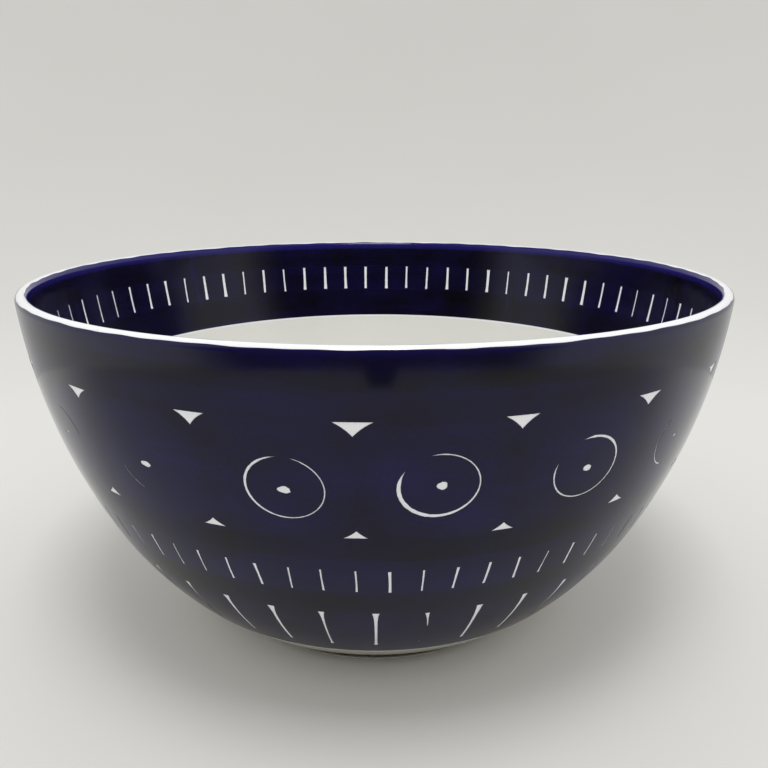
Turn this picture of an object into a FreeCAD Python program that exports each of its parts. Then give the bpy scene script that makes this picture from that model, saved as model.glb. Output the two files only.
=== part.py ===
"""Punch bowl: one turned clay body, a white glaze over it, and cobalt paint bands over the glaze.

Millimetres, +Z up. The origin is the centre of the foot ring, on the surface the bowl stands on.
Every section is drawn in the XZ plane and turned about Z. The wall is two arcs inside and two
outside, about the same two centres, and outside a tighter arc, the hip, leads to the foot. A place on the wall is given by the slope of its outward
normal below the horizontal, in degrees.
"""
import FreeCAD
import Part
import Sketcher
import os
import sys

DRIVING_SIZES = {
    "rim_radius": 165.0,
    "rim_height": 171.0,
    "lip_radius": 2.5,
    "lip_slope": 3.8,
    "upper_radius": 263.0,
    "waist_slope": 26.2,
    "lower_radius": 173.0,
    "hip_slope": 43.0,
    "hip_radius": 94.0,
    "belly_slope": 66.7,
    "glaze_thickness": 0.45,
    "paint_thickness": 0.4,
    "floor_height": 12.0,
    "well_corner_radius": 45.0,
    "foot_fillet_radius": 2.0,
    "foot_draft": 15.0,
    "foot_inner_radius": 69.5,
    "foot_inner_draft": 20.0,
    "underside_height": 6.0,
    "bare_foot_height": 1.0,
    "foot_middle_radius": 72.5,
    "disc_band_top": 8.4,
    "disc_band_bottom": 18.4,
    "paint_bottom_slope": 42.7,
    "inner_tick_band_top": 6.9,
    "inner_tick_band_bottom": 10.8,
    "inner_paint_bottom": 14.75,
}

document = FreeCAD.newDocument("punch_bowl")
sheet = document.addObject("Spreadsheet::Sheet", "Sizes")


def fill_sheet():
    """Write each driving size as a named cell."""
    for row, (name, value) in enumerate(DRIVING_SIZES.items(), start=1):
        sheet.set(f"A{row}", name)
        sheet.set(f"B{row}", str(value))
        sheet.setAlias(f"B{row}", name)
    document.recompute()


def size(name):
    """The expression that reads one cell."""
    return f"Sizes.{name}"


def value_of(expression):
    """The number that an expression stands for."""
    result = sheet.evalExpression(expression)
    return float(getattr(result, "Value", result))


def along_slope(point, distance, slope):
    """The point that lies at a distance from another, along the wall's outward normal."""
    across, up = point
    return (f"({across} + ({distance}) * cos({slope}))", f"({up} - ({distance}) * sin({slope}))")


# The glaze surface: the paint stands on it, and the clay lies under it.
LIP_CENTRE = (
    f"({size('rim_radius')} - {size('paint_thickness')} - {size('lip_radius')})",
    f"({size('rim_height')} - {size('lip_radius')})",
)
UPPER_GLAZE = f"({size('upper_radius')} - {size('paint_thickness')})"
LOWER_GLAZE = f"({size('lower_radius')} - {size('paint_thickness')})"
WALL = f"(2 * {size('lip_radius')})"
UPPER_CENTRE = along_slope(LIP_CENTRE, f"{size('lip_radius')} - {UPPER_GLAZE}", size("lip_slope"))
LOWER_CENTRE = along_slope(UPPER_CENTRE, f"{UPPER_GLAZE} - {LOWER_GLAZE}", size("waist_slope"))
HIP_CENTRE = along_slope(LOWER_CENTRE, f"{LOWER_GLAZE} - {size('hip_radius')}", size("hip_slope"))


def origin_feature(body, role):
    """One of a body's own origin planes or axes."""
    return next(item for item in body.Origin.OriginFeatures if item.Role == role)


def section_sketch(body, name):
    """An empty sketch on the body's own XZ plane: across is X and up is Z."""
    sketch = body.newObject("Sketcher::SketchObject", name)
    sketch.AttachmentSupport = [(origin_feature(body, "XZ_Plane"), "")]
    sketch.MapMode = "FlatFace"
    return sketch


def bind(sketch, constraint, expression):
    """Add a constraint whose size follows an expression."""
    number = sketch.addConstraint(constraint)
    sketch.setExpression(f"Constraints[{number}]", expression)


def arc_between(start, end, radius, bulge):
    """The short arc from start to end. A bulge of 1 lies left of the way from start to end."""
    chord = end - start
    middle = (start + end) * 0.5
    left = FreeCAD.Vector(-chord.y, chord.x, 0).normalize() * bulge
    rise = radius - (radius ** 2 - (chord.Length / 2) ** 2) ** 0.5
    return Part.Arc(start, middle + left * rise, end)


def draw_outline(sketch, corners, edges):
    """Draw a closed outline. Each edge is None for a line, or (radius, bulge) for an arc."""
    points = [FreeCAD.Vector(value_of(across), value_of(up), 0) for across, up in corners]
    ends = []
    for index, edge in enumerate(edges):
        start, end = points[index], points[(index + 1) % len(points)]
        if edge is None:
            number = sketch.addGeometry(Part.LineSegment(start, end))
            ends.append((number, 1, 2))
            continue
        radius, bulge = edge
        number = sketch.addGeometry(arc_between(start, end, value_of(radius), bulge))
        # a sketch arc always runs anticlockwise, so one that bulges left is stored end first
        ends.append((number, 2, 1) if bulge > 0 else (number, 1, 2))
    for index, (number, _, last) in enumerate(ends):
        following, first, _ = ends[(index + 1) % len(ends)]
        sketch.addConstraint(Sketcher.Constraint("Coincident", number, last, following, first))
    for (number, first, _), corner, point in zip(ends, corners, points):
        across, up = corner
        bind(sketch, Sketcher.Constraint("DistanceX", -1, 1, number, first, point.x), across)
        bind(sketch, Sketcher.Constraint("DistanceY", -1, 1, number, first, point.y), up)
    for (number, _, _), edge in zip(ends, edges):
        if edge is not None:
            radius = edge[0]
            bind(sketch, Sketcher.Constraint("Radius", number, value_of(radius)), radius)


def turned_body(name, corners, edges):
    """A body made by turning one closed outline about Z."""
    body = document.addObject("PartDesign::Body", name)
    body.Label = name
    sketch = section_sketch(body, f"{name}_section")
    draw_outline(sketch, corners, edges)
    document.recompute()
    revolution = body.newObject("PartDesign::Revolution", f"{name}_revolution")
    revolution.Profile = sketch
    revolution.ReferenceAxis = (origin_feature(body, "Z_Axis"), [""])
    revolution.Angle = 360
    body.Tip = revolution
    document.recompute()
    return body


def bowl_body(name, skin):
    """The whole bowl in section, with its surface a skin's depth under the glaze surface.

    The outline runs from the middle of the well up the inside, over the lip, down the outside,
    round the foot ring and back under the floor.
    """
    lip_radius = f"({size('lip_radius')} - {skin})"
    upper_outside = f"({UPPER_GLAZE} - {skin})"
    lower_outside = f"({LOWER_GLAZE} - {skin})"
    hip_outside = f"({size('hip_radius')} - {skin})"
    upper_inside = f"({UPPER_GLAZE} - {WALL} + {skin})"
    lower_inside = f"({LOWER_GLAZE} - {WALL} + {skin})"
    well_corner = f"({size('well_corner_radius')} + {skin})"
    foot_fillet = f"({size('foot_fillet_radius')} + {skin})"

    # the well's corner arc touches the floor and the inside of the lower wall
    floor = f"({size('floor_height')} - {skin})"
    corner_height = f"({size('floor_height')} + {size('well_corner_radius')})"
    corner_reach = f"({LOWER_GLAZE} - {WALL} - {size('well_corner_radius')})"
    corner_slope = f"asin(({LOWER_CENTRE[1]} - {corner_height}) / {corner_reach})"
    corner_centre = along_slope(LOWER_CENTRE, corner_reach, corner_slope)

    # the hollow between the belly and the foot ring
    belly_end = along_slope(HIP_CENTRE, hip_outside, size("belly_slope"))
    fillet_centre = along_slope(belly_end, foot_fillet, size("belly_slope"))
    foot_wall_top = along_slope(fillet_centre, f"-{foot_fillet}", size("foot_draft"))
    foot_outer = f"({foot_wall_top[0]} - {foot_wall_top[1]} * tan({size('foot_draft')}))"
    underside = f"({size('underside_height')} + {skin})"
    foot_inner = f"({size('foot_inner_radius')} + {skin} / cos({size('foot_inner_draft')}))"
    foot_wall_end = f"({foot_inner} - {underside} * tan({size('foot_inner_draft')}))"

    corners = [
        ("0", floor),
        (corner_centre[0], floor),
        along_slope(corner_centre, well_corner, corner_slope),
        along_slope(UPPER_CENTRE, upper_inside, size("waist_slope")),
        along_slope(LIP_CENTRE, f"-{lip_radius}", size("lip_slope")),
        (LIP_CENTRE[0], f"({LIP_CENTRE[1]} + {lip_radius})"),
        along_slope(LIP_CENTRE, lip_radius, size("lip_slope")),
        along_slope(UPPER_CENTRE, upper_outside, size("waist_slope")),
        along_slope(LOWER_CENTRE, lower_outside, size("hip_slope")),
        belly_end,
        foot_wall_top,
        (foot_outer, "0"),
        (foot_inner, "0"),
        (foot_wall_end, underside),
        ("0", underside),
    ]
    edges = [
        None,
        (well_corner, -1),
        (lower_inside, -1),
        (upper_inside, -1),
        (lip_radius, 1),
        (lip_radius, 1),
        (upper_outside, 1),
        (lower_outside, 1),
        (hip_outside, 1),
        (foot_fillet, -1),
        None,
        None,
        None,
        None,
        None,
    ]
    return turned_body(name, corners, edges)


def paint_band(name, centre, near_radius, far_radius, top_slope, bottom_slope):
    """A thin band of paint on the wall, between two slopes."""
    corners = [
        along_slope(centre, near_radius, top_slope),
        along_slope(centre, far_radius, top_slope),
        along_slope(centre, far_radius, bottom_slope),
        along_slope(centre, near_radius, bottom_slope),
    ]
    edges = [None, (far_radius, 1), None, (near_radius, -1)]
    return turned_body(name, corners, edges)


def outer_paint(name, centre, glaze_radius, top_slope, bottom_slope):
    """A band on the outside of the wall."""
    face = f"({glaze_radius} + {size('paint_thickness')})"
    return paint_band(name, centre, glaze_radius, face, top_slope, bottom_slope)


def inner_paint(name, top_slope, bottom_slope):
    """A band on the inside of the upper wall."""
    glaze = f"({UPPER_GLAZE} - {WALL})"
    face = f"({glaze} - {size('paint_thickness')})"
    return paint_band(name, UPPER_CENTRE, face, glaze, top_slope, bottom_slope)


def cylinder(name, radius, height):
    """A plain cylinder on the origin, used only to divide the glaze."""
    solid = document.addObject("Part::Cylinder", name)
    solid.setExpression("Radius", radius)
    solid.setExpression("Height", height)
    return solid


def boolean(kind, name, base, tool):
    """A cut or common of two solids."""
    result = document.addObject(f"Part::{kind}", name)
    result.Label = name
    result.Base = base
    result.Tool = tool
    document.recompute()
    return result


def build():
    """Make every sub-part and return those that are written."""
    fill_sheet()
    clay_body = bowl_body("clay_body", size("glaze_thickness"))
    glazed_form = bowl_body("glazed_form", "0")
    glaze = boolean("Cut", "glaze", glazed_form, clay_body)
    wiped = cylinder("wiped_foot", size("rim_radius"), size("bare_foot_height"))
    wiped_glaze = boolean("Cut", "wiped_glaze", glaze, wiped)
    under_height = f"{size('underside_height')} + {size('glaze_thickness')}"
    under = cylinder("under_foot", size("foot_middle_radius"), under_height)
    white_glaze = boolean("Cut", "white_glaze", wiped_glaze, under)
    base_glaze = boolean("Common", "base_glaze", wiped_glaze, under)
    lip_slope, waist_slope = size("lip_slope"), size("waist_slope")
    disc_top, disc_bottom = size("disc_band_top"), size("disc_band_bottom")
    return [
        clay_body,
        white_glaze,
        base_glaze,
        outer_paint("outer_lip_band", UPPER_CENTRE, UPPER_GLAZE, lip_slope, disc_top),
        outer_paint("disc_band", UPPER_CENTRE, UPPER_GLAZE, disc_top, disc_bottom),
        outer_paint("short_tick_band", UPPER_CENTRE, UPPER_GLAZE, disc_bottom, waist_slope),
        outer_paint(
            "long_tick_band", LOWER_CENTRE, LOWER_GLAZE, waist_slope, size("paint_bottom_slope")
        ),
        inner_paint("inner_lip_band", lip_slope, size("inner_tick_band_top")),
        inner_paint("inner_tick_band", size("inner_tick_band_top"), size("inner_tick_band_bottom")),
        inner_paint("inner_lower_band", size("inner_tick_band_bottom"), size("inner_paint_bottom")),
    ]


def check(parts):
    """Stop if any object failed or any sub-part isn't one good solid."""
    problems = []
    for item in document.Objects:
        if {"Invalid", "Error"} & set(item.State):
            problems.append(f"{item.Name}: {item.State}")
    for part in parts:
        shape = part.Shape
        if shape.isNull() or not shape.isValid() or len(shape.Solids) != 1:
            problems.append(f"{part.Label}: not one valid solid")
    if problems:
        sys.exit("\n".join(problems))


def write(parts):
    """Write each sub-part to its own file."""
    os.makedirs("parts", exist_ok=True)
    for part in parts:
        part.Shape.exportStep(os.path.join("parts", f"{part.Label}.step"))
        box = part.Shape.optimalBoundingBox(False)
        print(
            f"{part.Label:18s} volume {part.Shape.Volume:10.0f}  radius {box.XMax:7.2f}"
            f"  z {box.ZMin:7.2f} to {box.ZMax:7.2f}"
        )


document.recompute()
sub_parts = build()
document.recompute()
check(sub_parts)
write(sub_parts)
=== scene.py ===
"""Punch bowl: visual model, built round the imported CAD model.

Metres, +Z up, the origin on the floor at the centre of the foot. A place on the wall is given by an
angle round the bowl (0 is the front, -Y, and it grows towards +X) and by a height, or by a distance
down the wall. The painted bands are thin closed shells with real windows: the white marks are the
glaze under the paint, seen through them.
"""
import bpy
import math
import random
import numpy as np
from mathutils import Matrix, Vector
from mathutils.geometry import delaunay_2d_cdt


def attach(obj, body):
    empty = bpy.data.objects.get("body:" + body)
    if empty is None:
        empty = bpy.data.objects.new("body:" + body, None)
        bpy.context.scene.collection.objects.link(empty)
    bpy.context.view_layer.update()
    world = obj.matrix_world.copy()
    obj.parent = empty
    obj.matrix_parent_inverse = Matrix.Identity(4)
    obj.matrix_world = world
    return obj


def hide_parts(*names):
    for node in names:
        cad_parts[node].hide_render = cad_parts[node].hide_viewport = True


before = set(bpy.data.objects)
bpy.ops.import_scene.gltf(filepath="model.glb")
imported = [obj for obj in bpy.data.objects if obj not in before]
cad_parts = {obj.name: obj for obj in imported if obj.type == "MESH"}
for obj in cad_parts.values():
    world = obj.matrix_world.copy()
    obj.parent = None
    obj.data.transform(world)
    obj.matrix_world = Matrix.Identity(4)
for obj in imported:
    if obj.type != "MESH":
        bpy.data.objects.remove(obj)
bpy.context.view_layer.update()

MM = 0.001
TAU = 2 * math.pi

# ---------------------------------------------------------------------------------------------
# The wall: two arcs about two centres, and outside a tighter one to the foot, as in the CAD model
# ---------------------------------------------------------------------------------------------
RIM_RADIUS = 165.0 * MM
RIM_HEIGHT = 171.0 * MM
LIP_RADIUS = 2.5 * MM
WALL = 2 * LIP_RADIUS
GLAZE = 0.45 * MM
PAINT = 0.4 * MM
UPPER_RADIUS = 263.0 * MM - PAINT
LOWER_RADIUS = 173.0 * MM - PAINT
LIP_SLOPE = math.radians(3.8)
WAIST_SLOPE = math.radians(26.2)
HIP_SLOPE = math.radians(43.0)
HIP_RADIUS = 94.0 * MM
BELLY_SLOPE = math.radians(66.7)
WELL_CORNER_RADIUS = 45.0 * MM
FLOOR_HEIGHT = 12.0 * MM
FOOT_FILLET_RADIUS = 2.0 * MM
FOOT_DRAFT = math.radians(15.0)
BARE_FOOT_HEIGHT = 1.0 * MM

# the slopes between which each band lies
DISC_TOP = math.radians(8.4)
DISC_BOTTOM = math.radians(18.4)
PAINT_BOTTOM = math.radians(42.7)
INNER_TICK_TOP = math.radians(6.9)
INNER_TICK_BOTTOM = math.radians(10.8)
INNER_PAINT_BOTTOM = math.radians(14.75)

# the CAD bands are drawn thicker than life: here the paint stands as proud as fired paint does
STEP = 0.12 * MM
# a painted shell is thicker than that, so that its back lies inside the glaze
SHELL = 1.5 * STEP

# the slopes, on the lip's rounding, at which the paint stops and leaves the lip white
OUTER_LIP_EDGE = math.radians(-37)
INNER_LIP_EDGE = math.radians(-122)


def out(slope):
    """The outward normal, across and up, of a wall with this slope below the horizontal."""
    return np.array([math.cos(slope), -math.sin(slope)])


LIP_CENTRE = np.array([RIM_RADIUS - PAINT - LIP_RADIUS, RIM_HEIGHT - LIP_RADIUS])
UPPER_CENTRE = LIP_CENTRE + (LIP_RADIUS - UPPER_RADIUS) * out(LIP_SLOPE)
LOWER_CENTRE = UPPER_CENTRE + (UPPER_RADIUS - LOWER_RADIUS) * out(WAIST_SLOPE)
HIP_CENTRE = LOWER_CENTRE + (LOWER_RADIUS - HIP_RADIUS) * out(HIP_SLOPE)

# ---------------------------------------------------------------------------------------------
# The decoration: how many of each mark, and where each row stands
# ---------------------------------------------------------------------------------------------
DISCS = 19
DISC_PITCH = TAU / DISCS
FIRST_DISC = math.radians(8.47)
DISC_HEIGHT = 123.5 * MM
RING_WIDTH = 26.6
RING_RISE = 24.4
# the gaps stand halfway between discs, a little to the left
GAP_OFFSET = math.radians(0.97)
UPPER_GAP_HEIGHT = 145.1 * MM
LOWER_GAP_HEIGHT = 104.4 * MM
# a gap's width, its height and how hollow its sides are, in mm
UPPER_GAP = (14.6, 5.5, 0.55)
LOWER_GAP = (9.2, 3.5, 0.35)
# each row of ticks: how many, the angle of the first, the height of their middles, their length in mm
SHORT_TICKS = 76
FIRST_SHORT_TICK = math.radians(-2.41)
SHORT_TICK_HEIGHT = 81.35 * MM
SHORT_TICK_LENGTH = 12.3
LONG_TICKS = 42
FIRST_LONG_TICK = math.radians(0.38)
LONG_TICK_HEIGHT = 48.85 * MM
LONG_TICK_LENGTH = 32.0
INNER_TICKS = 67
FIRST_INNER_TICK = math.pi + math.radians(3.355)
INNER_TICK_HEIGHT = 146.3 * MM
INNER_TICK_LENGTH = 15.3

# how many columns of points go round each painted shell
COLUMNS = 384


# ---------------------------------------------------------------------------------------------
# Meshes
# ---------------------------------------------------------------------------------------------
def make_piece(name, points, faces, corner_normals, material, replaces=()):
    """A smooth mesh object with its own shading normal at every corner of every face."""
    mesh = bpy.data.meshes.new(name)
    mesh.from_pydata(np.asarray(points).tolist(), [], faces)
    mesh.polygons.foreach_set("use_smooth", [True] * len(faces))
    mesh.normals_split_custom_set(np.asarray(corner_normals).tolist())
    mesh.materials.append(material)
    mesh.update()
    piece = bpy.data.objects.new(name, mesh)
    bpy.context.scene.collection.objects.link(piece)
    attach(piece, "root")
    if replaces:
        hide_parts(*replaces)
    return piece


def in_space(angle, across, up):
    """Points, or directions, turned from the section to their angles."""
    up = up * np.ones_like(angle)
    return np.stack([across * np.sin(angle), -across * np.cos(angle), up], axis=-1)


def turned_piece(name, stretches, material, replaces=(), steps=288):
    """A closed solid turned from a section that runs once round.

    The section is a list of stretches, each a list of (across, up, normal across, normal up). The
    surface is smooth along a stretch and has an edge where two stretches meet.
    """
    angles = np.arange(steps) * TAU / steps
    points, faces, corner_normals = [], [], []
    rows = {}

    def row(across, up):
        key = (round(across, 8), round(up, 8))
        if key not in rows:
            turned = angles if across > 1e-7 else angles[:1]
            rows[key] = (len(points), len(turned))
            points.extend(in_space(turned, across, up))
        return rows[key]

    for stretch in stretches:
        for start, end in zip(stretch, stretch[1:]):
            (first, count), (second, following) = row(*start[:2]), row(*end[:2])
            start_normals = in_space(angles, *start[2:])
            end_normals = in_space(angles, *end[2:])
            for step in range(steps):
                after = (step + 1) % steps
                face = [first + step % count, second + step % following,
                        second + after % following, first + after % count]
                normals = [start_normals[step], end_normals[step],
                           end_normals[after], start_normals[after]]
                if count == 1:
                    face, normals = face[:3], normals[:3]
                elif following == 1:
                    face, normals = face[:2] + face[3:], normals[:2] + normals[3:]
                faces.append(face)
                corner_normals.extend(normals)
    return make_piece(name, points, faces, corner_normals, material, replaces)


def arc(centre, radius, start, end, spacing=4 * MM, facing=1):
    """A stretch of section along an arc, between two slopes. A facing of -1 is a hollow face."""
    count = max(4, math.ceil(abs(end - start) * radius / spacing) + 1)
    return [
        (*(centre + radius * out(slope)), *(facing * out(slope)))
        for slope in np.linspace(start, end, count)
    ]


def line(start, end, normal, spacing=8 * MM):
    """A straight stretch of section."""
    count = max(2, math.ceil(math.dist(start, end) / spacing) + 1)
    return [
        (start[0] + (end[0] - start[0]) * part, start[1] + (end[1] - start[1]) * part, *normal)
        for part in np.linspace(0, 1, count)
    ]


def glaze_section():
    """The white glaze: a skin over the whole clay body except the bare face of the foot."""

    def face(skin):
        """One face of the skin, from the middle of the well to the foot, at a depth in the glaze."""
        corner_reach = LOWER_RADIUS - WALL - WELL_CORNER_RADIUS
        corner_drop = LOWER_CENTRE[1] - FLOOR_HEIGHT - WELL_CORNER_RADIUS
        corner_slope = math.asin(corner_drop / corner_reach)
        corner_centre = LOWER_CENTRE + corner_reach * out(corner_slope)
        belly_end = HIP_CENTRE + (HIP_RADIUS - skin) * out(BELLY_SLOPE)
        fillet = FOOT_FILLET_RADIUS + skin
        fillet_centre = belly_end + fillet * out(BELLY_SLOPE)
        foot_top = fillet_centre - fillet * out(FOOT_DRAFT)
        foot_drop = foot_top[1] - BARE_FOOT_HEIGHT
        foot_end = (foot_top[0] - foot_drop * math.tan(FOOT_DRAFT), BARE_FOOT_HEIGHT)
        floor = FLOOR_HEIGHT - skin
        smooth = line((0, floor), (corner_centre[0], floor), (0, 1))
        well_corner, lower, upper = (
            radius + skin for radius in (WELL_CORNER_RADIUS, LOWER_RADIUS - WALL, UPPER_RADIUS - WALL)
        )
        smooth += arc(corner_centre, well_corner, math.pi / 2, corner_slope, facing=-1)[1:]
        smooth += arc(LOWER_CENTRE, lower, corner_slope, WAIST_SLOPE, facing=-1)[1:]
        smooth += arc(UPPER_CENTRE, upper, WAIST_SLOPE, LIP_SLOPE, facing=-1)[1:]
        smooth += arc(LIP_CENTRE, LIP_RADIUS - skin, LIP_SLOPE - math.pi, LIP_SLOPE, 0.4 * MM)[1:]
        smooth += arc(UPPER_CENTRE, UPPER_RADIUS - skin, LIP_SLOPE, WAIST_SLOPE)[1:]
        smooth += arc(LOWER_CENTRE, LOWER_RADIUS - skin, WAIST_SLOPE, HIP_SLOPE)[1:]
        smooth += arc(HIP_CENTRE, HIP_RADIUS - skin, HIP_SLOPE, BELLY_SLOPE)[1:]
        smooth += arc(fillet_centre, fillet, BELLY_SLOPE, FOOT_DRAFT, 0.5 * MM, facing=-1)[1:]
        smooth += line(foot_top, foot_end, out(FOOT_DRAFT))[1:]
        return smooth

    seen = face(0.0)
    hidden = face(GLAZE)
    back = [(across, up, -facing_across, -facing_up) for across, up, facing_across, facing_up in hidden]
    closing = line(seen[-1][:2], hidden[-1][:2], (0, -1))
    return [seen, closing, back[::-1]]


# ---------------------------------------------------------------------------------------------
# Painted bands: unrolled flat, cut with their windows, and rolled up again
# ---------------------------------------------------------------------------------------------
class Wall:
    """A way down the wall, made of arcs: (centre, radius, first slope, last slope, facing)."""

    def __init__(self, *arcs):
        self.arcs = arcs
        self.lengths = [abs(last - first) * radius for _, radius, first, last, _ in arcs]
        self.length = sum(self.lengths)

    def place(self, down):
        """Across, up and the normal's two parts at distances down the wall."""
        down = np.asarray(down, dtype=float)
        result = np.zeros((4, len(down)))
        begun = 0.0
        for number, (arc_here, length) in enumerate(zip(self.arcs, self.lengths)):
            centre, radius, first, last, facing = arc_here
            here = (down >= begun - 1e-9) | (number == 0)
            slope = first + (last - first) * (down - begun) / length
            normal = np.stack([np.cos(slope), -np.sin(slope)])
            result[:2, here] = (centre[:, None] + radius * normal)[:, here]
            result[2:, here] = (facing * normal)[:, here]
            begun += length
        return result

    def down_to(self, height):
        """The distance down the wall to a height above the floor."""
        low, high = 0.0, self.length
        for _ in range(40):
            middle = (low + high) / 2
            if self.place([middle])[1, 0] > height:
                low = middle
            else:
                high = middle
        return (low + high) / 2


def outer_wall(*slopes):
    """The outside of the wall, in its paint, between two slopes that lie on one arc."""
    if slopes[0] >= WAIST_SLOPE:
        return Wall((LOWER_CENTRE, LOWER_RADIUS + STEP, *slopes, 1))
    return Wall((UPPER_CENTRE, UPPER_RADIUS + STEP, *slopes, 1))


def inner_wall(*slopes):
    """The inside of the upper wall, in its paint, between two slopes."""
    return Wall((UPPER_CENTRE, UPPER_RADIUS - WALL - STEP, *slopes, -1))


class Window:
    """A closed outline on the wall: (sideways, down), in millimetres, about an angle and a height."""

    def __init__(self, angle, height, outline):
        self.angle, self.height, self.outline = angle, height, outline

    def on(self, wall, radius):
        """The outline in the band's flat pattern, in metres."""
        down = wall.down_to(self.height)
        here = wall.place([down])[0, 0]
        return [
            (self.angle * radius + sideways * MM * radius / here, down + along * MM)
            for sideways, along in self.outline
        ]


def signed_area(outline):
    """Twice the area of an outline, more than 0 when it runs anticlockwise."""
    following = outline[1:] + outline[:1]
    return sum(a[0] * b[1] - b[0] * a[1] for a, b in zip(outline, following))


def painted_band(name, wall, windows, seam, material, replaces, ragged=0.0, grid=3 * MM):
    """A thin closed shell on the wall, with a window for each mark.

    The shell is cut flat, from the angle seam once round, and welded where its two ends meet. ragged
    is how uneven its upper edge is, and grid the distance between its rows of points.
    """
    radius = float(wall.place([wall.length / 2])[0, 0])
    rows = max(2, round(wall.length / grid) + 1)
    downs = np.linspace(0, wall.length, rows)
    angles = seam + np.arange(COLUMNS + 1) * TAU / COLUMNS
    flat, edges, loops = [], [], []

    def add_loop(outline):
        if signed_area(outline) < 0:
            outline = outline[::-1]
        first = len(flat)
        flat.extend(outline)
        loop = list(range(first, len(flat)))
        edges.extend(zip(loop, loop[1:] + loop[:1]))
        loops.append(loop)

    # the upper edge wavers in whole waves, so that it meets itself at the seam
    waves = np.sin(23 * angles) * np.sin(7.3 + 9 * angles) + 0.5 * np.sin(61 * angles + 1.0)
    border = [(a * radius, -ragged * wave) for a, wave in zip(angles, waves)]
    border += [(angles[-1] * radius, down) for down in downs[1:-1]]
    border += [(a * radius, wall.length) for a in angles[::-1]]
    border += [(angles[0] * radius, down) for down in downs[-2:0:-1]]
    add_loop(border)
    for window in windows:
        outline = window.on(wall, radius)
        turns = math.floor((window.angle - seam) / TAU)
        add_loop([(across - turns * TAU * radius, down) for across, down in outline])
    for down in downs[1:-1]:
        flat.extend((a * radius, down) for a in angles[1:-1])
    found = delaunay_2d_cdt([Vector(point) for point in flat], edges, loops, 0, 1e-8)
    places = np.array([tuple(point) for point in found[0]])
    triangles = [face for face, inside in zip(found[2], found[5]) if inside == [0]]

    # weld the two sides of the seam
    begin, end = (np.flatnonzero(abs(places[:, 0] - angles[side] * radius) < 1e-7) for side in (0, -1))
    partner = {round(places[index, 1], 8): index for index in begin}
    weld = {index: partner[round(places[index, 1], 8)] for index in end}
    triangles = [[weld.get(corner, corner) for corner in face] for face in triangles]
    used = sorted({corner for face in triangles for corner in face})
    number = {corner: index for index, corner in enumerate(used)}
    triangles = np.array([[number[corner] for corner in face] for face in triangles])
    places = places[used]

    across, up, normal_across, normal_up = wall.place(places[:, 1])
    angle = places[:, 0] / radius
    front = in_space(angle, across, up)
    normals = in_space(angle, normal_across, normal_up)
    first, second, third = (front[triangles[:, corner]] for corner in range(3))
    turned = np.cross(second - first, third - first)
    wrong = (turned * normals[triangles[:, 0]]).sum(axis=1) < 0
    triangles[wrong] = triangles[wrong][:, ::-1]

    count = len(front)
    points = np.concatenate([front, front - normals * SHELL])
    faces = triangles.tolist() + (triangles[:, ::-1] + count).tolist()
    corner_normals = [normals[triangles].reshape(-1, 3), -normals[triangles[:, ::-1]].reshape(-1, 3)]
    directed = {(a, b) for face in triangles.tolist() for a, b in zip(face, face[1:] + face[:1])}
    sides = [(b, a, a + count, b + count) for a, b in sorted(directed) if (b, a) not in directed]
    corners = points[np.array(sides)]
    facing = np.cross(corners[:, 1] - corners[:, 0], corners[:, 2] - corners[:, 0])
    facing /= np.maximum(np.linalg.norm(facing, axis=1), 1e-12)[:, None]
    faces += [list(side) for side in sides]
    corner_normals.append(np.repeat(facing, 4, axis=0))
    corner_normals = np.concatenate(corner_normals)
    return make_piece(name, points, faces, corner_normals, material, replaces)


# ---------------------------------------------------------------------------------------------
# Marks, in millimetres: sideways to the viewer's right, and down the wall
# ---------------------------------------------------------------------------------------------
def stroke(line_points, widths):
    """The outline of a stroke that follows a line, with its own width at each point."""
    middle = np.array(line_points, dtype=float)
    along = np.gradient(middle, axis=0)
    along /= np.linalg.norm(along, axis=1)[:, None]
    side = np.stack([along[:, 1], -along[:, 0]], axis=1) * np.array(widths)[:, None] / 2
    return [tuple(point) for point in np.concatenate([middle + side, (middle - side)[::-1]])]


def ring_outline(chance, start, sweep, widest, heavy, thick, thin, tilt):
    """A scratched ring: one stroke, clockwise angles in degrees from the right-hand side.

    It begins at start and runs for sweep degrees. It is widest near the angle heavy.
    """
    count = max(12, round(sweep / 5))
    middle, widths = [], []
    lump = [chance.uniform(-0.25, 0.25) for _ in range(4)]
    for index in range(count + 1):
        part = index / count
        turn = math.radians(start + sweep * part)
        size = 1 + 0.01 * sum(wave * math.sin((n + 2) * turn + n) for n, wave in enumerate(lump))
        x, y = RING_WIDTH / 2 * size * math.cos(turn), RING_RISE / 2 * size * math.sin(turn)
        middle.append((
            x * math.cos(tilt) - y * math.sin(tilt), x * math.sin(tilt) + y * math.cos(tilt),
        ))
        near = (1 + math.cos(turn - math.radians(heavy))) / 2
        width = thin + (thick - thin) * near ** widest
        width *= 1 + chance.uniform(-0.12, 0.12)
        widths.append(max(0.06, width * min(1, part * 14 + 0.1, (1 - part) * 14 + 0.1)))
    return stroke(middle, widths)


def dot_outline(chance, width, height, point_side):
    """A dot left by a touch of the tool, drawn out to one side."""
    outline = []
    for index in range(14):
        turn = TAU * index / 14
        size = 1 + chance.uniform(-0.12, 0.12)
        pull = 0.45 * max(0, math.cos(turn - point_side)) ** 4
        outline.append((
            width / 2 * (size + pull) * math.cos(turn),
            height / 2 * (size + pull * 0.5) * math.sin(turn),
        ))
    return outline


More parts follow.
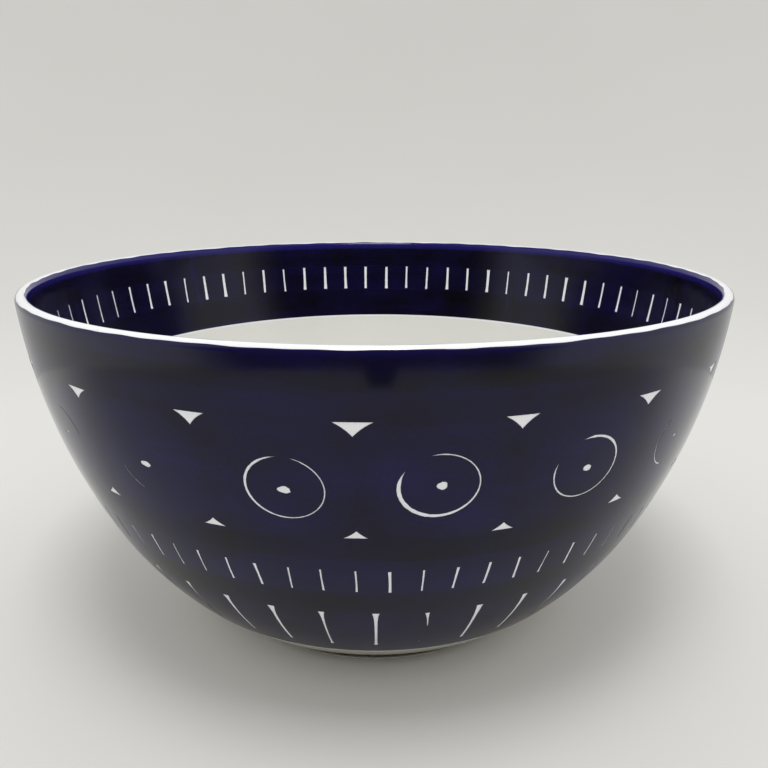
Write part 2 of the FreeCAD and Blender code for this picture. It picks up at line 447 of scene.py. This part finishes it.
def spandrel_outline(chance, width, height, hollow, upward):
    """The gap that two neighbouring discs leave: a straight edge and two hollow sides."""
    width *= chance.uniform(0.96, 1.04)
    height *= chance.uniform(0.96, 1.04)
    lean = chance.uniform(-0.35, 0.35)
    corners = [(-width / 2, 0.0), (lean, height), (width / 2, chance.uniform(-0.25, 0.25))]
    outline = []
    for (x0, y0), (x1, y1) in zip(corners, corners[1:]):
        length = math.hypot(x1 - x0, y1 - y0)
        for index in range(6):
            part = index / 6
            bow = hollow * 4 * part * (1 - part)
            outline.append((
                x0 + (x1 - x0) * part + bow * (y1 - y0) / length * (1 if x1 > x0 else -1),
                y0 + (y1 - y0) * part - bow * abs(x1 - x0) / length,
            ))
    outline.append(corners[-1])
    sign = -1 if upward else 1
    return [(x, sign * (y - height / 2)) for x, y in outline]


def tick_outline(chance, length, top, neck, foot, top_share, foot_share, lean):
    """A tick: flared at its top, narrow in its neck, and slightly flared at its foot."""
    middle, widths = [], []
    bend = chance.uniform(-0.12, 0.12)
    for index in range(15):
        part = index / 14
        middle.append((lean * (part - 0.5) + bend * math.sin(math.pi * part), length * (part - 0.5)))
        width = neck + (top - neck) * math.exp(-part / top_share)
        width += (foot - neck) * math.exp(-(1 - part) / foot_share)
        widths.append(max(0.12, width * chance.uniform(0.94, 1.06)))
    return stroke(middle, widths)


def disc_windows():
    """Rings, dots and the gaps between discs, one of each to every disc."""
    # the rings nearest the front, as each looks: start, sweep, widest, heavy, thick, thin, tilt
    known = {
        0: (-104, 318, 1.3, 140, 1.45, 0.45, -0.05),
        -1: (-92, 345, 1.6, 175, 0.95, 0.42, 0.2),
        1: (-110, 312, 1.5, 290, 0.95, 0.55, 0.0),
        2: (100, 130, 1.0, 160, 0.55, 0.30, 0.0),
        -2: (110, 60, 1.0, 140, 0.40, 0.20, 0.0),
        -3: (-80, 70, 1.0, 300, 0.40, 0.22, 0.0),
    }
    # how far two of them stand off their places, sideways and down
    off_place = {0: (-1.5, -0.2), -1: (0.6, 1.2)}
    # how big the upper gap to the left of each of these discs is
    gap_sizes = {0: 1.04, 1: 0.95, -1: 0.86, 2: 0.9, -2: 0.8}
    # their dots: sideways and down from the middle, width, height, side that is drawn out
    known_dots = {
        0: (-0.5, -0.4, 3.0, 3.6, math.pi),
        -1: (0.8, 1.8, 3.9, 3.0, 3.5),
        1: (0.2, 0.2, 3.2, 2.6, 0.6),
        2: (0.3, 0.1, 2.0, 1.5, 5.5),
        -2: (0.0, 0.0, 4.0, 2.5, 3.4),
        -3: (0.0, 0.0, 2.2, 1.2, 0.0),
    }
    windows = []
    for index in range(-(DISCS // 2), DISCS // 2 + 1):
        chance = random.Random(500 + index)
        angle = FIRST_DISC + index * DISC_PITCH
        ring = known.get(index)
        if ring is None:
            ring = (
                chance.uniform(-110, -20),
                chance.choice((320, 300, 250, 335, 140, 345)),
                chance.uniform(1, 2),
                chance.uniform(100, 260),
                chance.uniform(0.5, 1.1),
                chance.uniform(0.28, 0.45),
                chance.uniform(-0.1, 0.1),
            )
        sideways, down = off_place.get(index, (0.0, 0.0))
        outline = [(x + sideways, y + down) for x, y in ring_outline(chance, *ring)]
        windows.append(Window(angle, DISC_HEIGHT, outline))
        dot = known_dots.get(index)
        if dot is None:
            dot = (
                chance.uniform(-0.5, 0.5), chance.uniform(-0.4, 0.4), chance.uniform(2.4, 3.8),
                chance.uniform(1.7, 2.7), chance.uniform(0, TAU),
            )
        outline = [(x + dot[0], y + dot[1]) for x, y in dot_outline(chance, *dot[2:])]
        windows.append(Window(angle, DISC_HEIGHT, outline))
        between = angle - DISC_PITCH / 2 - GAP_OFFSET
        size = gap_sizes.get(index, chance.uniform(0.85, 1.05))
        width, height, hollow = UPPER_GAP
        outline = spandrel_outline(chance, width * size, height * size, hollow, False)
        windows.append(Window(between, UPPER_GAP_HEIGHT, outline))
        outline = spandrel_outline(chance, *LOWER_GAP, True)
        windows.append(Window(between, LOWER_GAP_HEIGHT, outline))
    return windows


def tick_windows(count, first, height, seed, tick):
    """A row of ticks round the bowl. tick gives the outlines that one tick leaves."""
    windows = []
    for index in range(count):
        chance = random.Random(seed + index)
        angle = first + index * TAU / count + math.radians(chance.uniform(-0.12, 0.12))
        middle = height + chance.uniform(-0.3, 0.3) * MM
        windows.extend(Window(angle, middle, outline) for outline in tick(chance, index))
    return windows


def short_tick(chance, _):
    """A short tick, as the row under the discs has them."""
    top, foot = chance.uniform(0.6, 1.35), chance.uniform(0.6, 1.25)
    neck = min(top, foot) * chance.uniform(0.75, 1.0)
    lean = chance.uniform(-0.5, 0.5)
    return [tick_outline(chance, SHORT_TICK_LENGTH, top, neck, foot, 0.25, 0.2, lean)]


def long_tick(chance, index):
    """A long tick of the bottom row. Where the tool skipped, a wedge and a dot are left."""
    lean = chance.uniform(-0.9, 0.9)
    if index == 1 or (index > 4 and chance.random() < 0.06):
        wedge = tick_outline(chance, 11.5, 1.8, 0.4, 0.2, 0.25, 0.1, 1.3)
        dot = dot_outline(chance, 0.8, 0.9, 0.0)
        return [[(x, y - 9.6) for x, y in wedge], [(x - 0.6, y + 13.0) for x, y in dot]]
    top, neck, foot = chance.uniform(2.0, 3.0), chance.uniform(0.7, 1.2), chance.uniform(1.2, 1.9)
    top_share = chance.uniform(0.06, 0.2)
    return [tick_outline(chance, LONG_TICK_LENGTH, top, neck, foot, top_share, 0.04, lean)]


def inner_tick(chance, _):
    """A tick of the row inside the mouth."""
    width = chance.choice((1.1, 1.5, 1.8, 2.1))
    top, foot = width * chance.uniform(0.7, 1.1), width * chance.uniform(0.8, 1.2)
    lean = chance.uniform(-0.3, 0.3)
    return [tick_outline(chance, INNER_TICK_LENGTH, top, width * 0.8, foot, 0.3, 0.25, lean)]


# ---------------------------------------------------------------------------------------------
# Materials
# ---------------------------------------------------------------------------------------------
class Nodes:
    """A short way to write a node tree: its calls add nodes and give the output to go on with."""

    def __init__(self, tree):
        self.tree = tree

    def add(self, kind, output=0, inputs=None, **settings):
        node = self.tree.nodes.new(kind)
        for name, value in settings.items():
            setattr(node, name, value)
        for key, value in (inputs or {}).items():
            self.give(node.inputs[key], value)
        return None if output is None else node.outputs[output]

    def give(self, socket, value):
        if isinstance(value, bpy.types.NodeSocket):
            self.tree.links.new(value, socket)
        else:
            socket.default_value = value

    def math(self, operation, *values, clamp=False):
        return self.add("ShaderNodeMath", operation=operation, use_clamp=clamp,
                        inputs=dict(enumerate(values)))

    def mix(self, share, first, second):
        node = self.tree.nodes.new("ShaderNodeMix")
        node.data_type = "RGBA"
        for index, value in ((0, share), (6, first), (7, second)):
            if isinstance(value, tuple):
                value = (*value, 1.0)
            self.give(node.inputs[index], value)
        return node.outputs[2]

    def ramp(self, value, low, high, to_low=0.0, to_high=1.0):
        """The value carried smoothly from one range to another, and held at its ends."""
        return self.add("ShaderNodeMapRange", interpolation_type="SMOOTHSTEP", inputs={
            0: value, 1: low, 2: high, 3: to_low, 4: to_high,
        })

    def noise(self, stretch, scale, detail=2.0, rough=0.5, distortion=0.0):
        """Noise in the object's own frame, stretched by a factor along each axis."""
        where = self.add("ShaderNodeTexCoord", 3)
        stretched = self.add("ShaderNodeVectorMath", operation="MULTIPLY", inputs={0: where, 1: stretch})
        return self.add("ShaderNodeTexNoise", 0, inputs={
            "Vector": stretched, "Scale": scale, "Detail": detail, "Roughness": rough,
            "Distortion": distortion,
        })

    def place(self):
        """The angle round the bowl, the distance from its axis and the height."""
        split = self.tree.nodes.new("ShaderNodeSeparateXYZ")
        self.give(split.inputs[0], self.add("ShaderNodeTexCoord", 3))
        x, y, z = split.outputs
        angle = self.math("ARCTAN2", x, self.math("MULTIPLY", y, -1.0))
        return angle, self.length(x, y), z

    def length(self, x, y):
        """How far (x, y) is from nought."""
        squares = self.math("ADD", self.math("MULTIPLY", x, x), self.math("MULTIPLY", y, y))
        return self.math("SQRT", squares)


def new_material(name):
    """A new material, the node tree it is written in, and its shader."""
    material = bpy.data.materials.new(name)
    material.use_nodes = True
    nodes = Nodes(material.node_tree)
    material.node_tree.nodes.clear()
    shader = material.node_tree.nodes.new("ShaderNodeBsdfPrincipled")
    output = material.node_tree.nodes.new("ShaderNodeOutputMaterial")
    material.node_tree.links.new(shader.outputs[0], output.inputs[0])
    return material, nodes, shader


def hand_made_surface(nodes, shader, fine):
    """The slight waves of a hand-glazed wall, the same on every coat, and a fine orange peel."""
    waves = nodes.noise((1, 1, 0.7), 24.0, detail=1.0)
    ripple = nodes.noise((1, 1, 1), 260.0, detail=2.0)
    height = nodes.math("ADD", waves, nodes.math("MULTIPLY", ripple, fine))
    shader_normal = nodes.add("ShaderNodeBump", inputs={
        "Strength": 1.0, "Distance": 0.00022, "Height": height,
    })
    nodes.give(shader.inputs["Normal"], shader_normal)


BLACKISH = (0.0032, 0.0025, 0.0042)
DEEP_BLUE = (0.0085, 0.0060, 0.060)
NAVY = (0.007, 0.0055, 0.045)
BRIGHT_BLUE = (0.016, 0.012, 0.135)


def cobalt(name, blue, discs=False, edge=None, zones=(), drips=False):
    """Cobalt paint under its gloss: near black where it is thick and blue where it is thin.

    blue is how blue the band is as a whole, from 0 to 1. With discs, it is bluer inside each disc
    and shows the brush's round strokes. edge is a thin bluer margin, as (from height, to height,
    colour). zones are (height, half width, change) for darker or bluer rounds of the brush. drips
    adds the faint upright runs that the paint has inside the bowl.
    """
    material, nodes, shader = new_material(name)
    angle, radius, height = nodes.place()
    mottle = nodes.noise((1, 1, 1.6), 26.0, detail=4.0, rough=0.6)
    strokes = nodes.noise((5, 5, 190), 1.0, detail=3.0, rough=0.6, distortion=0.2)
    share = nodes.math("ADD", blue, nodes.math("MULTIPLY", nodes.math("SUBTRACT", mottle, 0.5), 1.3))
    share = nodes.math("ADD", share, nodes.math("MULTIPLY", nodes.math("SUBTRACT", strokes, 0.5), 0.55))
    for middle, half, change in zones:
        away = nodes.math("ABSOLUTE", nodes.math("SUBTRACT", height, middle))
        share = nodes.math("ADD", share, nodes.ramp(away, half * 0.6, half, change, 0.0))
    if discs:
        turn = nodes.math("DIVIDE", nodes.math("SUBTRACT", angle, FIRST_DISC), DISC_PITCH)
        local = nodes.math("SUBTRACT", turn, nodes.math("ROUND", turn))
        sideways = nodes.math("MULTIPLY", nodes.math("MULTIPLY", local, DISC_PITCH), radius)
        upward = nodes.math("MULTIPLY", nodes.math("SUBTRACT", height, DISC_HEIGHT), 1.03)
        away = nodes.length(sideways, upward)
        inside = nodes.ramp(away, 20 * MM, 27 * MM, 1.0, 0.0)
        wander = nodes.math("MULTIPLY", nodes.noise((1, 1, 1), 60.0, detail=3.0), 7.0)
        rounds = nodes.math("SINE", nodes.math("ADD", nodes.math("MULTIPLY", away, 2400.0), wander))
        share = nodes.math("ADD", share, nodes.math("MULTIPLY", inside, 0.17))
        share = nodes.math("ADD", share, nodes.math("MULTIPLY", rounds, 0.05))
    if drips:
        run = nodes.noise((1, 1, 0.02), 75.0, detail=2.0, distortion=0.3)
        share = nodes.math("ADD", share, nodes.ramp(run, 0.66, 0.74, 0.0, 0.45))
        share = nodes.math("ADD", share, nodes.ramp(run, 0.30, 0.24, 0.0, -0.35))
    share = nodes.math("ADD", share, 0.0, clamp=True)
    colour = nodes.mix(share, BLACKISH, DEEP_BLUE)
    if edge:
        *heights, edge_colour = edge
        fray = nodes.math("MULTIPLY", nodes.noise((1, 1, 1), 420.0, detail=2.0), 1.6 * MM)
        margin = nodes.ramp(nodes.math("ADD", height, fray), *heights)
        colour = nodes.mix(margin, colour, edge_colour)
    nodes.give(shader.inputs["Base Color"], colour)
    smears = nodes.noise((1, 1, 1), 45.0, detail=3.0)
    gloss = nodes.math("ADD", 0.07, nodes.math("MULTIPLY", smears, 0.10))
    nodes.give(shader.inputs["Roughness"], gloss)
    shader.inputs["IOR"].default_value = 1.45
    hand_made_surface(nodes, shader, 0.03)
    return material


# about where the paint ends, outside and inside, and the radius that the underside's glaze lies in
OUTER_PAINT_END = 30 * MM
INNER_PAINT_END = 119 * MM
UNDERSIDE_RADIUS = 68.5 * MM


def white_glaze(name):
    """Milk-white glaze: creamy in the well, faintly specked, with painted light and painted shade."""
    material, nodes, shader = new_material(name)
    _, radius, height = nodes.place()
    cloud = nodes.noise((1, 1, 1), 14.0, detail=3.0)
    colour = nodes.mix(cloud, (0.80, 0.80, 0.755), (0.86, 0.86, 0.83))
    # painted light: where the face looks down outside, and in the mouth, the coat is whiter and cooler
    normal = nodes.add("ShaderNodeTexCoord", 1)
    outside = nodes.math("LESS_THAN", nodes.add("ShaderNodeSeparateXYZ", 2, inputs={0: normal}), 0.0)
    mouth = nodes.math("GREATER_THAN", height, INNER_PAINT_END)
    painted = nodes.ramp(height, OUTER_PAINT_END, OUTER_PAINT_END + 4 * MM)
    painted_light = nodes.math("MULTIPLY", painted, nodes.math("MAXIMUM", outside, mouth))
    colour = nodes.mix(painted_light, colour, (0.94, 0.94, 0.98))
    # painted shade: outside, below the paint and off the underside, the coat is darkened to grey-brown
    painted_shade = nodes.ramp(height, OUTER_PAINT_END, OUTER_PAINT_END - 4 * MM)
    thin = nodes.math("MULTIPLY", painted_shade, outside)
    thin = nodes.math("MULTIPLY", thin, nodes.math("GREATER_THAN", radius, UNDERSIDE_RADIUS))
    colour = nodes.mix(thin, colour, (0.44, 0.42, 0.35))
    speck = nodes.ramp(nodes.noise((1, 1, 1), 520.0, detail=1.0), 0.74, 0.80)
    colour = nodes.mix(nodes.math("MULTIPLY", speck, 0.25), colour, (0.45, 0.40, 0.32))
    nodes.give(shader.inputs["Base Color"], colour)
    smears = nodes.noise((1, 1, 1), 40.0, detail=2.0)
    gloss = nodes.math("ADD", 0.10, nodes.math("MULTIPLY", smears, 0.12))
    nodes.give(shader.inputs["Roughness"], gloss)
    shader.inputs["IOR"].default_value = 1.5
    hand_made_surface(nodes, shader, 0.04)
    return material


def bare_clay(name):
    """Fired earthenware without glaze: matt, finely grained, and darkened as painted shade."""
    material, nodes, shader = new_material(name)
    grain = nodes.noise((1, 1, 1), 900.0, detail=4.0, rough=0.7)
    cloud = nodes.noise((1, 1, 1), 60.0, detail=3.0)
    # painted shade: the clay's colours are kept dark for the shade where the foot meets the floor
    colour = nodes.mix(cloud, (0.30, 0.26, 0.20), (0.40, 0.35, 0.27))
    grit = nodes.math("MULTIPLY", nodes.ramp(grain, 0.55, 0.75), 0.5)
    colour = nodes.mix(grit, colour, (0.42, 0.34, 0.25))
    nodes.give(shader.inputs["Base Color"], colour)
    shader.inputs["Roughness"].default_value = 0.85
    normal = nodes.add("ShaderNodeBump", inputs={"Strength": 0.6, "Distance": 0.0001, "Height": grain})
    nodes.give(shader.inputs["Normal"], normal)
    return material


# ---------------------------------------------------------------------------------------------
# The bowl
# ---------------------------------------------------------------------------------------------
GLAZE_WHITE = white_glaze("white_glaze")
for node, material in (("clay_body", bare_clay("bare_clay")), ("base_glaze", GLAZE_WHITE)):
    for place in bpy.data.objects[node].material_slots:
        place.material = material

turned_piece("white_glaze_coat", glaze_section(), GLAZE_WHITE, ("white_glaze",))

# this seam runs at the back, between a ring and the gap beside it
BETWEEN_DISCS = FIRST_DISC - DISCS // 2 * DISC_PITCH - math.radians(6.35)
outer_lip_wall = Wall(
    (LIP_CENTRE, LIP_RADIUS + STEP, OUTER_LIP_EDGE, LIP_SLOPE, 1),
    (UPPER_CENTRE, UPPER_RADIUS + STEP, LIP_SLOPE, DISC_TOP, 1),
)
painted_band(
    "outer_lip_paint", outer_lip_wall, [], BETWEEN_DISCS,
    cobalt(
        "cobalt_outer_lip", 0.38,
        edge=(168.2 * MM, 170.0 * MM, NAVY), zones=((160 * MM, 4 * MM, -0.15),),
    ),
    ("outer_lip_band",), ragged=0.16 * MM, grid=0.6 * MM,
)
painted_band(
    "disc_paint", outer_wall(DISC_TOP, DISC_BOTTOM), disc_windows(), BETWEEN_DISCS,
    cobalt("cobalt_discs", 0.44, discs=True), ("disc_band",),
)
painted_band(
    "short_tick_paint", outer_wall(DISC_BOTTOM, WAIST_SLOPE),
    tick_windows(SHORT_TICKS, FIRST_SHORT_TICK, SHORT_TICK_HEIGHT, 1000, short_tick),
    FIRST_SHORT_TICK + TAU / SHORT_TICKS * (SHORT_TICKS / 2 + 0.5),
    cobalt("cobalt_short_ticks", 0.52, zones=((71 * MM, 5 * MM, -0.35), (97 * MM, 6 * MM, -0.2))),
    ("short_tick_band",),
)
painted_band(
    "long_tick_paint", outer_wall(WAIST_SLOPE, PAINT_BOTTOM),
    tick_windows(LONG_TICKS, FIRST_LONG_TICK, LONG_TICK_HEIGHT, 2000, long_tick),
    FIRST_LONG_TICK + TAU / LONG_TICKS * (LONG_TICKS / 2 + 0.5),
    cobalt("cobalt_long_ticks", 0.45, zones=((66 * MM, 4 * MM, -0.3),)), ("long_tick_band",),
)
inner_lip_wall = Wall(
    (LIP_CENTRE, LIP_RADIUS + STEP, INNER_LIP_EDGE, LIP_SLOPE - math.pi, 1),
    (UPPER_CENTRE, UPPER_RADIUS - WALL - STEP, LIP_SLOPE, INNER_TICK_TOP, -1),
)
painted_band(
    "inner_lip_paint", inner_lip_wall, [], 0.0,
    cobalt("cobalt_inner_lip", 0.25, edge=(166.5 * MM, 168.9 * MM, BRIGHT_BLUE), drips=True),
    ("inner_lip_band",), ragged=0.25 * MM, grid=0.6 * MM,
)
painted_band(
    "inner_tick_paint", inner_wall(INNER_TICK_TOP, INNER_TICK_BOTTOM),
    tick_windows(INNER_TICKS, FIRST_INNER_TICK, INNER_TICK_HEIGHT, 3000, inner_tick),
    FIRST_INNER_TICK + TAU / INNER_TICKS * (INNER_TICKS // 2 + 0.5),
    cobalt("cobalt_inner_ticks", 0.42, drips=True), ("inner_tick_band",),
)
painted_band(
    "inner_lower_paint", inner_wall(INNER_TICK_BOTTOM, INNER_PAINT_BOTTOM), [], 0.0,
    cobalt("cobalt_inner_lower", 0.25, drips=True), ("inner_lower_band",),
)

# ---------------------------------------------------------------------------------------------
# The floor, the light and the camera
# ---------------------------------------------------------------------------------------------
FLOOR_HOLE = 0.1 * MM
FLOOR_MIDDLE = 0.2
NEAR_FLOOR = 0.52
ROOM_RADIUS = 1.9
ROOM_HEIGHT = 1.8
COVE_RADIUS = 0.9
LIGHT_PLACE = (0.0, -0.44, 1.35)
LIGHT_SIZE = 0.4
LIGHT_POWER = 6.0
FIGURE_DISTANCE = 0.43


def stage_piece(name, section, material, glossy, steps=128):
    """A surface of the room, turned from a section of (across, up)."""
    angles = np.arange(steps) * TAU / steps
    points = np.concatenate([in_space(angles, across, up) for across, up in section])
    faces = [
        (row * steps + step, row * steps + (step + 1) % steps,
         (row + 1) * steps + (step + 1) % steps, (row + 1) * steps + step)
        for row in range(len(section) - 1) for step in range(steps)
    ]
    mesh = bpy.data.meshes.new(name)
    mesh.from_pydata(points.tolist(), [], faces)
    mesh.polygons.foreach_set("use_smooth", [True] * len(faces))
    mesh.materials.append(material)
    surface = bpy.data.objects.new(name, mesh)
    surface.visible_glossy = glossy
    bpy.context.scene.collection.objects.link(surface)
    return surface


def floor_section(height):
    """The floor near the bowl, at a height."""
    return [(FLOOR_HOLE, height), (FLOOR_MIDDLE, height), (NEAR_FLOOR, height)]


def paper(name):
    """Matt white paper with a very faint tooth."""
    material, nodes, shader = new_material(name)
    cloud = nodes.noise((1, 1, 1), 3.0, detail=3.0)
    colour = nodes.mix(cloud, (0.78, 0.775, 0.75), (0.81, 0.805, 0.785))
    nodes.give(shader.inputs["Base Color"], colour)
    shader.inputs["Roughness"].default_value = 0.9
    shader.inputs["Specular IOR Level"].default_value = 0.1
    return material


def shaded_paper(name):
    """The same paper with painted shade towards the front, the shadow of whoever took the picture."""
    material, nodes, shader = new_material(name)
    where = nodes.add("ShaderNodeTexCoord", 3)
    backward = nodes.add("ShaderNodeSeparateXYZ", 1, inputs={0: where})
    # painted shade: the paper's colour darkens towards the front
    lit = nodes.ramp(backward, -0.15, 0.10)
    colour = nodes.mix(lit, (0.42, 0.42, 0.41), (0.8, 0.795, 0.775))
    nodes.give(shader.inputs["Base Color"], colour)
    shader.inputs["Roughness"].default_value = 0.9
    return material


def dark_cloth(name):
    """Matt cloth, nearly black."""
    material, nodes, shader = new_material(name)
    weave = nodes.noise((1, 1, 1), 30.0, detail=2.0)
    colour = nodes.mix(weave, (0.006, 0.006, 0.008), (0.012, 0.012, 0.015))
    nodes.give(shader.inputs["Base Color"], colour)
    shader.inputs["Roughness"].default_value = 1.0
    return material


def figure(name):
    """A dark flat shape close behind the camera, for whoever took the picture."""
    outline = [
        (x, -FIGURE_DISTANCE, z) for x, z in (
            (-0.26, 0.45), (-0.26, 0.14), (-0.20, 0.11), (-0.03, 0.11), (-0.02, 0.05), (-0.005, 0.015),
            (0.03, 0.015), (0.05, 0.05), (0.06, 0.12), (0.11, 0.14), (0.14, 0.20), (0.14, 0.45),
        )
    ]
    mesh = bpy.data.meshes.new(name)
    mesh.from_pydata(outline, [], [tuple(range(len(outline)))])
    mesh.materials.append(dark_cloth("dark_cloth"))
    shape = bpy.data.objects.new(name, mesh)
    bpy.context.scene.collection.objects.link(shape)
    return shape


def overhead_light(name, place, size, power):
    """A soft square light that looks at the bowl's foot."""
    data = bpy.data.lights.new(name, "AREA")
    data.shape = "SQUARE"
    data.size = size
    data.energy = power
    data.color = (1.0, 0.995, 0.97)
    light = bpy.data.objects.new(name, data)
    light.location = place
    light.rotation_euler = (-Vector(place)).to_track_quat("-Z", "Y").to_euler()
    bpy.context.scene.collection.objects.link(light)


def room_light(name):
    """A pale room. Behind the camera it is dark, where whoever took the picture stands."""
    world = bpy.data.worlds.new(name)
    bpy.context.scene.world = world
    world.use_nodes = True
    world.node_tree.nodes.clear()
    sky = Nodes(world.node_tree)
    way = sky.add("ShaderNodeTexCoord", 0)
    backward, upward = (sky.add("ShaderNodeSeparateXYZ", part, inputs={0: way}) for part in (1, 2))
    front = sky.ramp(backward, -0.75, -0.45, 1.0, 0.0)

    # what the gloss mirrors: dark in front, and dimmer overhead
    overhead = sky.ramp(upward, 0.55, 0.85)
    mirrored = sky.mix(overhead, (0.62, 0.62, 0.61), (0.20, 0.20, 0.20))
    mirrored = sky.mix(front, mirrored, (0.02, 0.02, 0.024))

    # what lights everything else: dim only low down in front
    low_front = sky.math("MULTIPLY", front, sky.ramp(upward, 0.2, 0.4, 1.0, 0.0))
    low_front = sky.math("MULTIPLY", low_front, sky.ramp(upward, -0.1, 0.0))
    soft = sky.mix(low_front, (0.81, 0.81, 0.80), (0.17, 0.15, 0.11))

    glossy_ray = sky.add("ShaderNodeLightPath", 3)
    background = sky.add("ShaderNodeBackground", inputs={0: sky.mix(glossy_ray, soft, mirrored)})
    sky.add("ShaderNodeOutputWorld", None, inputs={0: background})


PAPER = paper("paper")
stage_piece("near_floor", floor_section(0.0), PAPER, False)

# the floor as only the gloss sees it, darker towards the front with painted shade
shaded_floor = stage_piece("shaded_floor", floor_section(0.3 * MM), shaded_paper("shaded_paper"), True)

# the far floor curves up into a wall, which lets the room's light through
cove_start = ROOM_RADIUS - COVE_RADIUS
cove = [(NEAR_FLOOR, 0.0), (cove_start, 0.0)]
cove += [
    (cove_start + COVE_RADIUS * math.sin(turn), COVE_RADIUS - COVE_RADIUS * math.cos(turn))
    for turn in np.linspace(0, math.pi / 2, 17)[1:]
]
cove += [(ROOM_RADIUS, ROOM_HEIGHT)]
backdrop = stage_piece("far_floor_and_wall", cove, PAPER, False)
backdrop.visible_diffuse = backdrop.visible_shadow = False

# only the gloss sees these two
for unseen in (figure("figure"), shaded_floor):
    for sense in ("camera", "diffuse", "transmission", "volume_scatter", "shadow"):
        setattr(unseen, "visible_" + sense, False)

overhead_light("overhead", LIGHT_PLACE, LIGHT_SIZE, LIGHT_POWER)
room_light("room")

camera_data = bpy.data.cameras.new("camera")
camera_data.sensor_width = 36.0
camera_data.lens = 34.15
camera_data.clip_start = 0.01
camera = bpy.data.objects.new("camera", camera_data)
camera.location = (0.00395, -0.36924, 0.21984)
camera.rotation_euler = (math.radians(73.705), 0.0, 0.0)
bpy.context.scene.collection.objects.link(camera)
bpy.context.scene.camera = camera
bpy.context.scene.view_settings.view_transform = "Standard"

bpy.context.view_layer.update()
